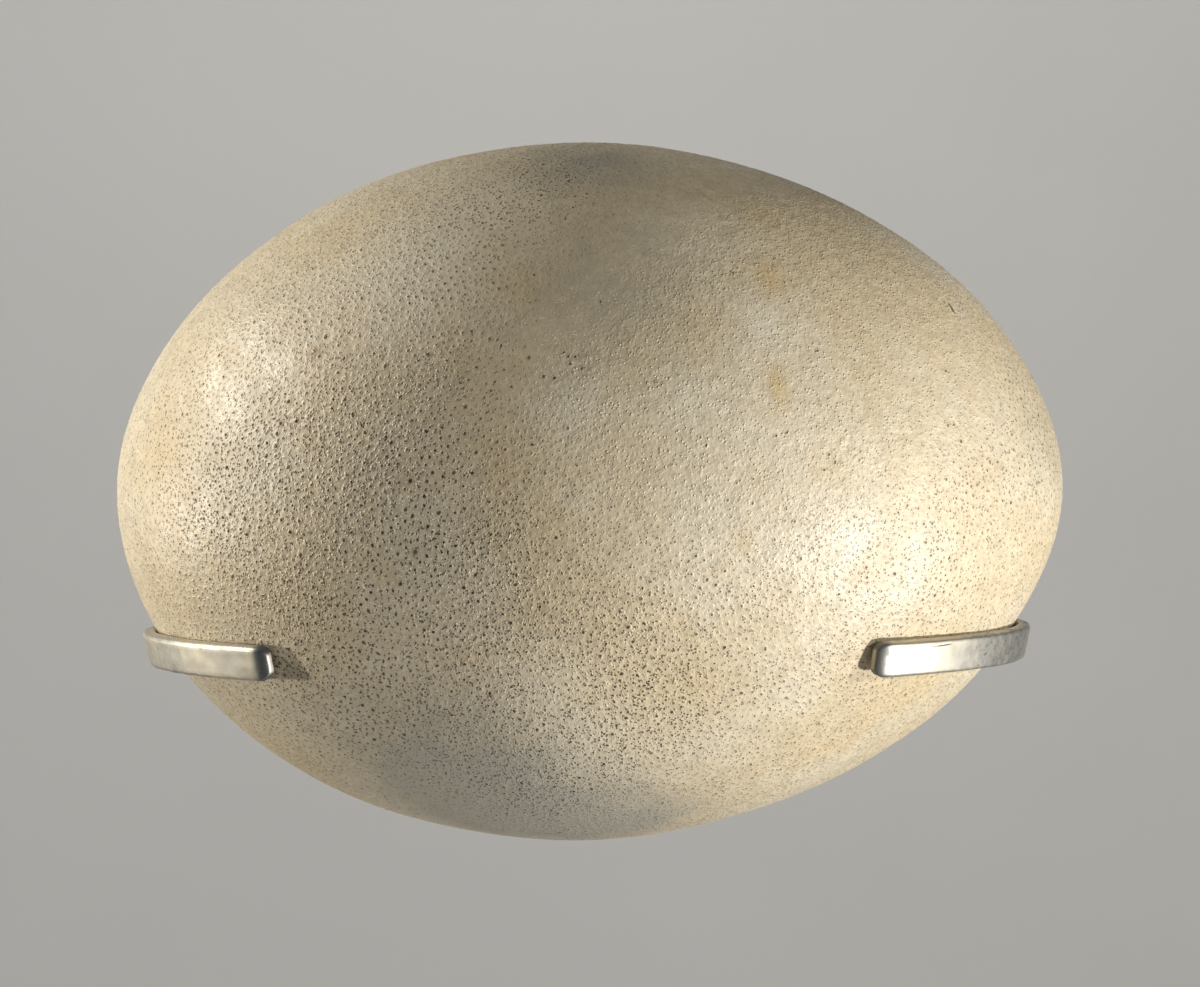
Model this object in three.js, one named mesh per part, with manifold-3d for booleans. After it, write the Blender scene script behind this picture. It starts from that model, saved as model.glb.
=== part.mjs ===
// An elephant bird egg in a wall holder: the egg lies on its side in an open ring made of two bent
// flat bars, which a bracket behind the egg carries from the wall. Millimetres, +Z up. The viewer
// stands at -Y, and the wall is the plane y = 0, with the origin at the centre of the wall plate.
import * as THREE from "three";
import { mergeVertices } from "three/addons/utils/BufferGeometryUtils.js";
import Module from "manifold-3d";

// Egg: a body of revolution about its long axis, with its blunt end at -X.
const EGG_LENGTH = 300;
const EGG_WIDTH = 221.7;
const EGG_TAPER = [-0.0351, -0.051, 0.0198]; // what the outline adds to an ellipse: s, s^2 and s^3
const EGG_TILT = THREE.MathUtils.degToRad(1.38); // the pointed end lies a little higher
const EGG_CENTRE = new THREE.Vector3(0, -150, 48.2);
const EGG_SEGMENTS_ALONG = 40;
const EGG_SEGMENTS_ROUND = 64;

// Arms: flat bars on edge, bent round the egg and leaning with its side.
const BAR_HEIGHT = 11;
const BAR_THICKNESS = 4.3;
const BAR_EDGE_RADIUS = 1.2;
const BAR_LEAN = THREE.MathUtils.degToRad(13.5);
const LEAN_CHANGE = THREE.MathUtils.degToRad(1.5); // the left bar leans more than the right one
const BAR_STEPS = 46;
const TIP_STEPS = 6;
const TIP_CORNER_RADIUS = 3.4;
const EGG_GAP = 0.1; // between the shell and a bar's upper inner edge before it is rounded
const RING_TILT = THREE.MathUtils.degToRad(0.46); // the ring rises a little towards +X
const TIP_RISE = 0.45; // the front ends lie this much higher than the sides
const LEFT_TIP_ANGLE = 37.2; // degrees past the egg's end, towards the viewer
const RIGHT_TIP_ANGLE = 41.8;
const BACK_END_X = 0.5; // the two bars end this far from the middle, behind the egg
const BACK_STRAIGHT = 24; // the bars run straight behind the egg as far as this

// Wall bracket: a plate with two screw holes, a stem and a head that the bars are screwed to.
const PLATE_WIDTH = 50;
const PLATE_HEIGHT = 100;
const PLATE_THICKNESS = 5;
const PLATE_CORNER_RADIUS = 8;
const WALL_HOLE_RADIUS = 2.5;
const WALL_HOLE_SPACING = 76;
const COUNTERSINK_RADIUS = 4.8;
const STEM_WIDTH = 14;
const STEM_HEIGHT = 18;
const STEM_CORNER_RADIUS = 2;
const HEAD_WIDTH = 44;
const HEAD_THICKNESS = 5;
const SEAM = 0.3; // gap between two pieces that touch

// Screws that hold the bars to the head.
const SCREW_X = 12;
const SCREW_RADIUS = 2;
const SCREW_HEAD_RADIUS = 3.8;
const SCREW_HEAD_DEPTH = 2;
const SLOT_WIDTH = 1;
const SLOT_DEPTH = 0.8;
const ROUND_SEGMENTS = 24;

const SHELL_COLOUR = 0xd6c7a1;
const BAR_COLOUR = 0xb9b5a9;
const BRACKET_COLOUR = 0x8f8e89;
const SCREW_COLOUR = 0xa5a49e;

const wasm = await Module();
wasm.setup();

// A closed surface as a solid for joining and cutting.
function solid(geometry) {
  const bare = geometry.index ? geometry.toNonIndexed() : geometry.clone();
  bare.deleteAttribute("normal");
  bare.deleteAttribute("uv");
  const merged = mergeVertices(bare, 1e-4);
  return new wasm.Manifold(
    new wasm.Mesh({
      numProp: 3,
      vertProperties: merged.attributes.position.array,
      triVerts: new Uint32Array(merged.index.array),
    }),
  );
}

function geometryOf(made) {
  const mesh = made.getMesh();
  return new THREE.BufferGeometry()
    .setAttribute("position", new THREE.BufferAttribute(mesh.vertProperties, 3))
    .setIndex(new THREE.BufferAttribute(mesh.triVerts, 1));
}

// Half the egg's width at s, from -1 at the blunt end to 1 at the pointed one.
function eggRadius(s) {
  const [first, second, third] = EGG_TAPER;
  const ellipse = Math.sqrt(Math.max(0, 1 - s * s));
  return (EGG_WIDTH / 2) * ellipse * (1 + first * s + second * s * s + third * s ** 3);
}

function eggGeometry() {
  const outline = [];
  for (let k = 0; k <= EGG_SEGMENTS_ALONG; k++) {
    const s = -Math.cos((Math.PI * k) / EGG_SEGMENTS_ALONG);
    const atEnd = k === 0 || k === EGG_SEGMENTS_ALONG;
    outline.push(new THREE.Vector2(atEnd ? 0 : eggRadius(s), (s * EGG_LENGTH) / 2));
  }
  return new THREE.LatheGeometry(outline, EGG_SEGMENTS_ROUND).rotateZ(-Math.PI / 2);
}

// How far the tilted egg reaches from its centre at a height, in a level direction.
function eggReach(angle, height) {
  let near = 0;
  let far = EGG_LENGTH;
  for (let k = 0; k < 50; k++) {
    const middle = (near + far) / 2;
    const level = middle * Math.cos(angle);
    const along = level * Math.cos(EGG_TILT) + height * Math.sin(EGG_TILT);
    const up = height * Math.cos(EGG_TILT) - level * Math.sin(EGG_TILT);
    const s = (2 * along) / EGG_LENGTH;
    const inEgg = Math.abs(s) < 1 && Math.hypot(middle * Math.sin(angle), up) < eggRadius(s);
    if (inEgg) near = middle;
    else far = middle;
  }
  return near;
}

// The shell at a level angle round the egg, at the height of a bar's upper inner edge.
function shellPoint(angle) {
  const edge = (BAR_HEIGHT / 2) * Math.cos(BAR_LEAN) + (BAR_THICKNESS / 2) * Math.sin(BAR_LEAN);
  let point = EGG_CENTRE.clone();
  for (let k = 0; k < 3; k++) {
    const rise = TIP_RISE * Math.max(0, -Math.sin(angle));
    const height = edge + rise + point.x * Math.tan(RING_TILT) - EGG_CENTRE.z;
    const reach = eggReach(angle, height);
    point = new THREE.Vector3(Math.cos(angle), Math.sin(angle), 0).multiplyScalar(reach);
    point.add(EGG_CENTRE).setZ(height + EGG_CENTRE.z);
  }
  return point;
}

// The directions of a leaning bar's section where it runs along a tangent: up its side, and out of it.
function sectionAxes(tangent, outwards) {
  const level = new THREE.Vector3(tangent.y, -tangent.x, 0).normalize();
  if (level.dot(outwards) < 0) level.negate();
  const vertical = new THREE.Vector3(0, 0, 1);
  const lean = BAR_LEAN - LEAN_CHANGE * THREE.MathUtils.clamp((2 * outwards.x) / EGG_WIDTH, -1, 1);
  const sine = Math.sin(lean);
  const cosine = Math.cos(lean);
  return {
    up: level.clone().multiplyScalar(sine).addScaledVector(vertical, cosine),
    out: level.clone().multiplyScalar(cosine).addScaledVector(vertical, -sine),
  };
}

// The middle of a bar's section beside a point of the shell.
function barMiddle(point, tangent, outwards) {
  const { up, out } = sectionAxes(tangent, outwards);
  return point
    .clone()
    .addScaledVector(new THREE.Vector3(out.x, out.y, 0).normalize(), EGG_GAP)
    .addScaledVector(up, -BAR_HEIGHT / 2)
    .addScaledVector(out, BAR_THICKNESS / 2);
}

// A bar's centre line, from behind the egg to the tip. side is -1 for the left bar and 1 for the right.
function armPath(side, tipAngle) {
  const back = barMiddle(
    shellPoint(Math.PI / 2),
    new THREE.Vector3(1, 0, 0),
    new THREE.Vector3(0, 1, 0),
  );
  const points = [];
  for (const x of [BACK_END_X, BACK_STRAIGHT / 3, (2 * BACK_STRAIGHT) / 3, BACK_STRAIGHT]) {
    points.push(new THREE.Vector3(side * x, back.y, side * x * Math.tan(RING_TILT)));
  }
  const knots = 20;
  const firstAngle = 62;
  for (let k = 0; k <= knots; k++) {
    const degrees = firstAngle - ((firstAngle + tipAngle) * k) / knots;
    const angle = THREE.MathUtils.degToRad(side > 0 ? degrees : 180 - degrees);
    const point = shellPoint(angle);
    const tangent = shellPoint(angle + 0.01).sub(point);
    const outwards = point.clone().sub(EGG_CENTRE);
    points.push(barMiddle(point, tangent, outwards));
  }
  return new THREE.CatmullRomCurve3(points, false, "centripetal");
}

// A bar's section, thickness along X and height along Y.
function barSection() {
  const x = BAR_THICKNESS / 2;
  const y = BAR_HEIGHT / 2;
  return roundedRectangle(x, y, BAR_EDGE_RADIUS);
}

function roundedRectangle(halfWidth, halfHeight, radius) {
  const x = halfWidth - radius;
  const y = halfHeight - radius;
  return new THREE.Shape()
    .absarc(x, y, radius, 0, Math.PI / 2)
    .absarc(-x, y, radius, Math.PI / 2, Math.PI)
    .absarc(-x, -y, radius, Math.PI, 1.5 * Math.PI)
    .absarc(x, -y, radius, 1.5 * Math.PI, 2 * Math.PI);
}

// What a corner of a radius takes off a half width at a distance from the end.
function cornerLoss(radius, distance) {
  const into = Math.max(0, radius - distance);
  return radius - Math.sqrt(radius * radius - into * into);
}

// A straight bar bent along the path, with its far end rounded into a tip.
function armGeometry(side, path) {
  const length = path.getLength();
  const tipStart = 1 - TIP_CORNER_RADIUS / length;
  const straight = new THREE.ExtrudeGeometry(barSection(), {
    depth: 1,
    steps: BAR_STEPS,
    bevelEnabled: false,
    curveSegments: 1,
  });
  const position = straight.getAttribute("position");
  for (let i = 0; i < position.count; i++) {
    const step = Math.round(position.getZ(i) * BAR_STEPS);
    const run = BAR_STEPS - TIP_STEPS;
    const quarter = (Math.PI / 2) * ((step - run) / TIP_STEPS);
    const share = step <= run ? (tipStart * step) / run : tipStart + (1 - tipStart) * Math.sin(quarter);
    const tangent = path.getTangentAt(share);
    const middle = path.getPointAt(share);
    const { up, out } = sectionAxes(tangent, middle.clone().sub(EGG_CENTRE));
    const fromEnd = (1 - share) * length;
    const thin = 1 - (2 * cornerLoss(BAR_EDGE_RADIUS, fromEnd)) / BAR_THICKNESS;
    const low = 1 - (2 * cornerLoss(TIP_CORNER_RADIUS, fromEnd)) / BAR_HEIGHT;
    middle.addScaledVector(out, side * position.getX(i) * thin);
    middle.addScaledVector(up, position.getY(i) * low);
    position.setXYZ(i, middle.x, middle.y, middle.z);
  }
  return straight;
}

// Turns a shape's solid, drawn about its own origin, to stand square on the bars behind the egg.
function onBackOfRing(geometry, x, out) {
  const path = armPath(Math.sign(x) || 1, RIGHT_TIP_ANGLE);
  const middle = path.getPointAt(0);
  const axes = sectionAxes(new THREE.Vector3(1, 0, 0), new THREE.Vector3(0, 1, 0));
  const turn = new THREE.Matrix4().makeBasis(new THREE.Vector3(-1, 0, 0), axes.up, axes.out);
  const place = new THREE.Vector3(x, middle.y, x * Math.tan(RING_TILT)).addScaledVector(axes.out, out);
  return geometry.applyMatrix4(turn.setPosition(place));
}

// A screw's outline turned about +Z, head first: z = 0 is the top of the head.
function screwProfile(gap) {
  const shank = SCREW_RADIUS + gap;
  const head = SCREW_HEAD_RADIUS + gap;
  const length = BAR_THICKNESS + SEAM + HEAD_THICKNESS;
  const over = gap > 0 ? 1 : 0;
  return [
    [0, -over],
    [head, -over],
    [head, 0],
    [shank, SCREW_HEAD_DEPTH],
    [shank, length + over],
    [0, length + over],
  ].map(([r, z]) => new THREE.Vector2(r, z));
}

function screwGeometry(x, gap) {
  const turned = new THREE.LatheGeometry(screwProfile(gap), ROUND_SEGMENTS).rotateX(Math.PI / 2);
  return onBackOfRing(turned, x, -BAR_THICKNESS / 2);
}

function screw(x) {
  const slot = new THREE.BoxGeometry(3 * SCREW_HEAD_RADIUS, SLOT_WIDTH, 2 * SLOT_DEPTH);
  const cut = onBackOfRing(slot, x, -BAR_THICKNESS / 2);
  return geometryOf(solid(screwGeometry(x, 0)).subtract(solid(cut)));
}

function arm(side, tipAngle) {
  const bar = solid(armGeometry(side, armPath(side, tipAngle)));
  return geometryOf(bar.subtract(solid(screwGeometry(side * SCREW_X, SEAM))));
}

function extrudedAlongY(shape, from, to) {
  return new THREE.ExtrudeGeometry(shape, { depth: to - from, bevelEnabled: false, curveSegments: 3 })
    .rotateX(Math.PI / 2)
    .translate(0, to, 0);
}

// A countersunk hole through the wall plate, widest towards the viewer.
function wallHole(z) {
  const deep = COUNTERSINK_RADIUS - WALL_HOLE_RADIUS;
  const profile = [
    [0, -1],
    [WALL_HOLE_RADIUS, -1],
    [WALL_HOLE_RADIUS, PLATE_THICKNESS - deep],
    [COUNTERSINK_RADIUS + 1, PLATE_THICKNESS + 1],
    [0, PLATE_THICKNESS + 1],
  ].map(([r, y]) => new THREE.Vector2(r, y));
  return new THREE.LatheGeometry(profile, ROUND_SEGMENTS).rotateX(Math.PI).translate(0, 0, z);
}

function wallBracket() {
  const plate = extrudedAlongY(
    roundedRectangle(PLATE_WIDTH / 2, PLATE_HEIGHT / 2, PLATE_CORNER_RADIUS),
    -PLATE_THICKNESS,
    0,
  );
  const headMiddle = BAR_THICKNESS / 2 + SEAM + HEAD_THICKNESS / 2;
  const head = new THREE.BoxGeometry(HEAD_WIDTH, BAR_HEIGHT, HEAD_THICKNESS);
  const headBack = armPath(1, RIGHT_TIP_ANGLE).getPointAt(0).y + headMiddle;
  const stem = extrudedAlongY(
    roundedRectangle(STEM_WIDTH / 2, STEM_HEIGHT / 2, STEM_CORNER_RADIUS),
    headBack,
    -PLATE_THICKNESS / 2,
  );
  let made = solid(plate).add(solid(stem)).add(solid(onBackOfRing(head, 0, headMiddle)));
  for (const z of [-WALL_HOLE_SPACING / 2, WALL_HOLE_SPACING / 2]) {
    made = made.subtract(solid(wallHole(z)));
  }
  for (const x of [-SCREW_X, SCREW_X]) {
    made = made.subtract(solid(screwGeometry(x, SEAM)));
  }
  return geometryOf(made);
}

const object = new THREE.Group();

function piece(name, geometry, colour, roughness, metalness) {
  const mesh = new THREE.Mesh(
    geometry,
    new THREE.MeshStandardMaterial({ color: colour, roughness, metalness }),
  );
  mesh.name = name;
  object.add(mesh);
  return mesh;
}

const egg = piece("egg", eggGeometry(), SHELL_COLOUR, 0.6, 0);
egg.position.copy(EGG_CENTRE);
egg.rotation.y = -EGG_TILT;

piece("left_arm", arm(-1, LEFT_TIP_ANGLE), BAR_COLOUR, 0.35, 1);
piece("right_arm", arm(1, RIGHT_TIP_ANGLE), BAR_COLOUR, 0.35, 1);
piece("wall_bracket", wallBracket(), BRACKET_COLOUR, 0.45, 1);
piece("left_arm_screw", screw(-SCREW_X), SCREW_COLOUR, 0.35, 1);
piece("right_arm_screw", screw(SCREW_X), SCREW_COLOUR, 0.35, 1);

export default object;
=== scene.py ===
"""An elephant bird egg in its wall holder: the pored shell, the two aged metal bars that carry it
and the bracket behind it, on a plain pale studio floor.

Metres, +Z up. The camera looks along +Y, and the holder is fixed to the plane y = 0.
"""

import math

import bmesh
import bpy
import numpy as np
from mathutils import Matrix, Vector
from mathutils.bvhtree import BVHTree
from mathutils.geometry import delaunay_2d_cdt


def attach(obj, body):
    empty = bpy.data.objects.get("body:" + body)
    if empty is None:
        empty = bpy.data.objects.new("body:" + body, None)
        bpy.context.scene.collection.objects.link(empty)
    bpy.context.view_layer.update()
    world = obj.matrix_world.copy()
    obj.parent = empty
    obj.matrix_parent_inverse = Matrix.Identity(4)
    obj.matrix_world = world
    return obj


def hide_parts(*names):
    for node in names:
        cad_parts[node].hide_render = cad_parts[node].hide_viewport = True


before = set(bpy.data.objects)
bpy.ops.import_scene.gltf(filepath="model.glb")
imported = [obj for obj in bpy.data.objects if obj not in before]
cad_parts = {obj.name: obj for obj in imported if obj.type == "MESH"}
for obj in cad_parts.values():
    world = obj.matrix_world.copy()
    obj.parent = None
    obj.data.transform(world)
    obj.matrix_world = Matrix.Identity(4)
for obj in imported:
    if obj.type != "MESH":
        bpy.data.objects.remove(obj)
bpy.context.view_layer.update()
MM = 0.001

# Egg
EGG_LENGTH = 300 * MM
EGG_WIDTH = 221.7 * MM
EGG_TAPER = (-0.0351, -0.051, 0.0198)  # what the outline adds to an ellipse: s, s^2 and s^3
EGG_TILT = math.radians(1.38)
EGG_CENTRE = Vector((0, -150, 48.2)) * MM

# Shell surface
PORES = 32000
PORE_JITTER = 0.36  # of the pores' spacing
RELAXATIONS = 2
PORE_DEPTH = 0.16 * MM
COARSE_PORE_DEPTH = 0.3 * MM
RIDGE_HEIGHT = 0.045 * MM
PIMPLE_HEIGHT = 0.13 * MM
SWELL_HEIGHT = 0.25 * MM

# Bars
BAR_HEIGHT = 11 * MM
BAR_THICKNESS = 4.3 * MM
BAR_EDGE_RADIUS = 1.3 * MM
BAR_LEAN = math.radians(13.5)
LEAN_CHANGE = math.radians(1.5)
TIP_CORNER_RADIUS = 3.4 * MM
TIP_NOSE_LENGTH = 4.2 * MM
TIP_NOSE_DEPTH = 2.6 * MM
TIP_BACK_RADIUS = 0.8 * MM
EGG_GAP = 0.1 * MM
RING_TILT = math.radians(0.46)
TIP_RISE = 0.45 * MM
LEFT_TIP_ANGLE = math.radians(37.2)
RIGHT_TIP_ANGLE = math.radians(41.8)
BACK_END_X = 0.5 * MM
BACK_STRAIGHT = 24 * MM
FIRST_ANGLE = math.radians(62)
BAR_UNEVENNESS = 0.05 * MM
BAR_WAVES = 9 * MM

# Where the bars turn slate grey, from their front ends, as painted dark reflection with some tarnish,
# and aged, from the egg's middle, and how much on the left bar (-1) and the right one (1)
TIP_REFLECTION_EDGE = (6.5 * MM, 2.5 * MM)
NOSE_EDGE = (0.02 * MM, 0.3 * MM)
TIP_REFLECTION_SHARE = {-1: 1, 1: 0.8}
AGED_EDGE = (105 * MM, 128 * MM)
AGED_SHARE = {-1: 0.3, 1: 1}

# Screws behind the egg, and the room that the bars leave round them
SCREW_X = 12 * MM
SCREW_RADIUS = 2 * MM
SCREW_HEAD_RADIUS = 3.8 * MM
SCREW_HEAD_DEPTH = 2 * MM
SEAM = 0.3 * MM

# Worn edges of the metal that keeps its plain solid
WORN_EDGE = {"wall_bracket": 0.5 * MM, "left_arm_screw": 0.12 * MM, "right_arm_screw": 0.12 * MM}

# Camera and the place of the egg's centre in the 1200 x 987 picture
PICTURE_WIDTH = 1200
PICTURE_HEIGHT = 987
EGG_CENTRE_PIXEL = (588.8, 491.0)
PIXELS_PER_RADIAN = 4702
CAMERA_DISTANCE = 1.5
CAMERA_ELEVATION = math.radians(3)
CAMERA_REACH = 50
SENSOR_WIDTH = 36

# Studio, in metres
FLOOR_LEVEL = -0.9
FLOOR_RADIUS = 2.6
FLOOR_CURVE = 1.2
WALL_HEIGHT = 1.5
BACKDROP = Vector((0, 3.8, 0.7))
FRONT_WALL = Vector((0, -3.8, 0.7))
WARM_WHITE = (1.0, 0.98, 0.94)
WORLD_STRENGTH = 0.04

GOLDEN_ANGLE = math.pi * (3 - math.sqrt(5))
OUTLINE_STEPS = 6001
HALVINGS = 40
# The colour sockets of a Mix node, which have the same names as its other sockets
FIRST_COLOUR, SECOND_COLOUR, MIXED_COLOUR = 6, 7, 2

random = np.random.default_rng(20)


def taper(s):
    first, second, third = EGG_TAPER
    return 1 + first * s + second * s**2 + third * s**3


def taper_slope(s):
    first, second, third = EGG_TAPER
    return first + 2 * second * s + 3 * third * s**2


def shell_points(directions):
    """Points of the egg, about its own centre and axis, for directions on the unit sphere."""
    s = directions[:, 0]
    half_width = EGG_WIDTH / 2 * taper(s)
    return np.stack(
        [EGG_LENGTH / 2 * s, half_width * directions[:, 1], half_width * directions[:, 2]], axis=1
    )


def shell_normals(directions):
    s = directions[:, 0]
    along = EGG_WIDTH / EGG_LENGTH * (s * taper(s) - (1 - s**2) * taper_slope(s))
    return unit(np.stack([along, directions[:, 1], directions[:, 2]], axis=1))


def unit(vectors):
    return vectors / np.linalg.norm(vectors, axis=1, keepdims=True)


def directions_of(points):
    """The inverse of shell_points, near enough for points close to the shell."""
    s = np.clip(points[:, 0] / (EGG_LENGTH / 2), -1, 1)
    half_width = EGG_WIDTH / 2 * taper(s)
    return unit(np.stack([s, points[:, 1] / half_width, points[:, 2] / half_width], axis=1))


EGG_TURN = np.array(Matrix.Rotation(-EGG_TILT, 3, "Y"))


def in_frame(points):
    """From the egg's own axes to the row frame."""
    return points @ EGG_TURN.T + np.array(EGG_CENTRE)


def in_egg(points):
    """From the row frame to the egg's own axes."""
    return (points - np.array(EGG_CENTRE)) @ EGG_TURN


def depth_in_egg(points):
    """Under 1 inside the egg and over 1 outside it, for points on the egg's own axes."""
    s = points[:, 0] / (EGG_LENGTH / 2)
    half_width = EGG_WIDTH / 2 * taper(np.clip(s, -1, 1))
    return s**2 + (points[:, 1] / half_width) ** 2 + (points[:, 2] / half_width) ** 2


# The camera's view of the egg
VIEW = Vector((0, math.cos(CAMERA_ELEVATION), -math.sin(CAMERA_ELEVATION)))
EYE = EGG_CENTRE - VIEW * CAMERA_DISTANCE
SCREEN_UP = Vector((0, math.sin(CAMERA_ELEVATION), math.cos(CAMERA_ELEVATION)))


def sight_line(across, down):
    """The direction in which the camera sees a pixel of the picture."""
    right = (across - EGG_CENTRE_PIXEL[0]) / PIXELS_PER_RADIAN
    up = (EGG_CENTRE_PIXEL[1] - down) / PIXELS_PER_RADIAN
    return (VIEW + Vector((right, 0, 0)) + SCREEN_UP * up).normalized()


def seen_at(across, down):
    """The point of the egg, on its own axes, that shows at a pixel of the picture."""
    ray = np.array(sight_line(across, down))
    near, far = CAMERA_DISTANCE / 2, CAMERA_DISTANCE
    for _ in range(HALVINGS):
        middle = (near + far) / 2
        point = in_egg((np.array(EYE) + ray * middle)[None])
        if depth_in_egg(point)[0] < 1:
            far = middle
        else:
            near = middle
    return point[0]


# The egg's outline in close steps, for distances along the shell
LATITUDE = np.linspace(-math.pi / 2, math.pi / 2, OUTLINE_STEPS)[1:-1]
STATION = np.sin(LATITUDE)
PROFILE = EGG_WIDTH / 2 * np.cos(LATITUDE) * taper(STATION)
STRIDE = np.hypot(np.diff(PROFILE), np.diff(EGG_LENGTH / 2 * STATION))
RING = (PROFILE[1:] + PROFILE[:-1]) / 2


def running_total(values):
    return np.concatenate([[0], np.cumsum(values)])


def on_round_map(directions):
    """The directions moved along the egg so that small circles on the shell stay circles."""
    stretch = running_total(STRIDE / RING)
    stretch -= np.interp(0, STATION, stretch)
    along = np.interp(directions[:, 0], STATION, np.tanh(stretch), left=-1, right=1)
    ring = np.sqrt(1 - along**2) / np.maximum(1e-9, np.hypot(directions[:, 1], directions[:, 2]))
    return np.stack([along, directions[:, 1] * ring, directions[:, 2] * ring], axis=1)


def even_sites(count):
    """Directions of points spread evenly over the egg, jittered off their spiral."""
    area = 2 * running_total(STRIDE * RING)
    along = np.interp((np.arange(count) + 0.5) / count * area[-1], area, STATION)
    turn = np.arange(count) * GOLDEN_ANGLE
    ring = np.sqrt(1 - along**2)
    points = shell_points(np.stack([along, ring * np.cos(turn), ring * np.sin(turn)], axis=1))
    spacing = math.sqrt(math.pi * area[-1] / count)
    points += random.normal(0, PORE_JITTER * spacing, points.shape)
    return directions_of(points)


def triangulate(directions):
    """Delaunay triangles of directions on the sphere, through a projection from its +Y pole.

    The pole becomes the last site, which closes the hull. Triangles face outwards.
    """
    mapped = on_round_map(directions)
    flat = mapped[:, [0, 2]] / (1 - mapped[:, 1:2])
    made = delaunay_2d_cdt([Vector(p) for p in flat], [], [], 0, 1e-7, False)
    triangles = np.array([t for t in made[2] if len(t) == 3])
    directions = np.vstack([directions, [[0, 1, 0]]])
    edges = np.concatenate([triangles[:, [0, 1]], triangles[:, [1, 2]], triangles[:, [2, 0]]])
    known = {(a, b) for a, b in edges.tolist()}
    pole = len(directions) - 1
    fan = [(b, a, pole) for a, b in edges.tolist() if (b, a) not in known]
    triangles = np.vstack([triangles, fan])
    a, b, c = (directions[triangles[:, k]] for k in range(3))
    if np.einsum("ij,ij->i", np.cross(b - a, c - a), a + b + c).mean() < 0:
        triangles = triangles[:, ::-1]
    return directions, triangles


def relaxed(directions, passes):
    """Moves each site halfway to the middle of its neighbours, some times over."""
    for _ in range(passes):
        closed, triangles = triangulate(directions)
        points = shell_points(closed)
        total = np.zeros_like(points)
        count = np.zeros(len(points))
        for a, b in ((0, 1), (1, 2), (2, 0)):
            for start, end in ((a, b), (b, a)):
                np.add.at(total, triangles[:, start], points[triangles[:, end]])
                np.add.at(count, triangles[:, start], 1)
        points = (points + total / count[:, None]) / 2
        directions = directions_of(points[:-1])
    return directions


def ringed(directions, triangles):
    """Puts a vertex into each triangle and joins these round every site.

    No two sites touch then, so each pore is a dimple of its own.
    """
    centres = unit(directions[triangles].sum(axis=1))
    first_centre = len(directions)
    left = {}
    for index, (a, b, c) in enumerate(triangles.tolist()):
        for edge in ((a, b), (b, c), (c, a)):
            left[edge] = first_centre + index
    faces = [(a, left[(b, a)], centre) for (a, b), centre in left.items()]
    return np.vstack([directions, centres]), np.array(faces)


def waves(points, length, count=24):
    """Smooth random heights with about unit spread and waves of about the given length."""
    heading = unit(random.normal(size=(count, 3)))
    stretch = random.uniform(0.7, 1.4, count) * 2 * math.pi / length
    phase = random.uniform(0, 2 * math.pi, count)
    return np.sin(points @ (heading * stretch[:, None]).T + phase).sum(axis=1) * math.sqrt(2 / count)


def patches(points, spots):
    """How strongly each point lies in soft round patches, each given as pixel, radius and strength."""
    total = np.zeros(len(points))
    for across, down, radius, strength in spots:
        centre = seen_at(across, down)
        distance = np.linalg.norm(points - centre, axis=1)
        total += strength * np.exp(-0.5 * (distance / (radius * MM)) ** 2)
    return total


def smooth(values, low, high):
    t = np.clip((values - low) / (high - low), 0, 1)
    return t * t * (3 - 2 * t)


# Patches on the shell: pixel across and down, radius in mm and strength
PIMPLY = [
    (680, 210, 20, 0.5),
    (740, 220, 24, 0.9),
    (820, 240, 24, 0.9),
    (890, 290, 24, 0.9),
    (930, 360, 20, 0.8),
    (720, 320, 28, 0.6),
    (840, 370, 24, 0.7),
    (670, 400, 26, 0.5),
    (770, 420, 22, 0.5),
    (610, 310, 22, 0.5),
]
COARSE_PORED = [
    (210, 500, 14, 0.7),
    (290, 440, 16, 0.8),
    (390, 490, 18, 0.9),
    (300, 560, 18, 0.8),
    (400, 600, 20, 0.8),
    (330, 700, 18, 0.9),
    (450, 700, 20, 0.7),
    (620, 650, 16, 0.8),
    (650, 720, 16, 0.8),
    (540, 780, 16, 0.8),
    (500, 560, 14, 0.4),
    (440, 380, 12, 0.4),
    (580, 180, 16, 0.6),
    (480, 210, 14, 0.4),
]
FINE_PORED = [
    (130, 420, 14, 1.0),
    (135, 520, 14, 1.0),
    (180, 340, 14, 0.8),
    (250, 260, 18, 0.8),
    (340, 210, 20, 0.7),
    (430, 180, 18, 0.5),
    (930, 700, 24, 0.7),
    (820, 780, 20, 0.6),
    (1030, 600, 16, 0.8),
    (960, 620, 14, 0.5),
    (800, 480, 30, 0.5),
    (880, 480, 20, 0.4),
]
OCHRE = [
    (768, 272, 3.4, 0.5),
    (774, 288, 3.4, 0.6),
    (775, 371, 3, 0.5),
    (777, 387, 3, 0.5),
    (779, 404, 3, 0.5),
    (745, 535, 3, 0.35),
    (745, 550, 3, 0.4),
    (745, 600, 6, 0.3),
    (525, 290, 8, 0.5),
    (300, 215, 14, 0.3),
    (330, 250, 9, 0.4),
    (165, 450, 10, 0.5),
    (690, 690, 9, 0.3),
    (610, 185, 9, 0.3),
    (820, 180, 10, 0.5),
    (560, 520, 4, 0.4),
    (500, 450, 10, 0.3),
    (860, 390, 14, 0.35),
]
CHALKY = [
    (570, 410, 12, 0.6),
    (765, 325, 8, 0.7),
    (480, 205, 20, 0.6),
    (400, 290, 16, 0.4),
    (590, 505, 7, 0.4),
    (270, 500, 10, 0.4),
    (310, 340, 9, 0.3),
    (800, 700, 8, 0.4),
]
# Grey patches: partly a real grey stain low on the shell, partly painted shade that darkens the egg's
# bottom, its top and its right end
GREY_STAIN_AND_SHADE = [
    (450, 800, 24, 0.7),
    (545, 822, 26, 0.8),
    (640, 820, 20, 0.5),
    (390, 730, 24, 0.4),
    (500, 740, 20, 0.3),
    (600, 280, 26, 0.5),
    (590, 160, 20, 0.75),
    (400, 500, 20, 0.2),
    (1045, 430, 18, 0.4),
]
RUSTY = [
    (316, 353, 2.0, 1.0),
    (1000, 470, 2.0, 0.5),
    (570, 555, 1.2, 0.5),
]

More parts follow.
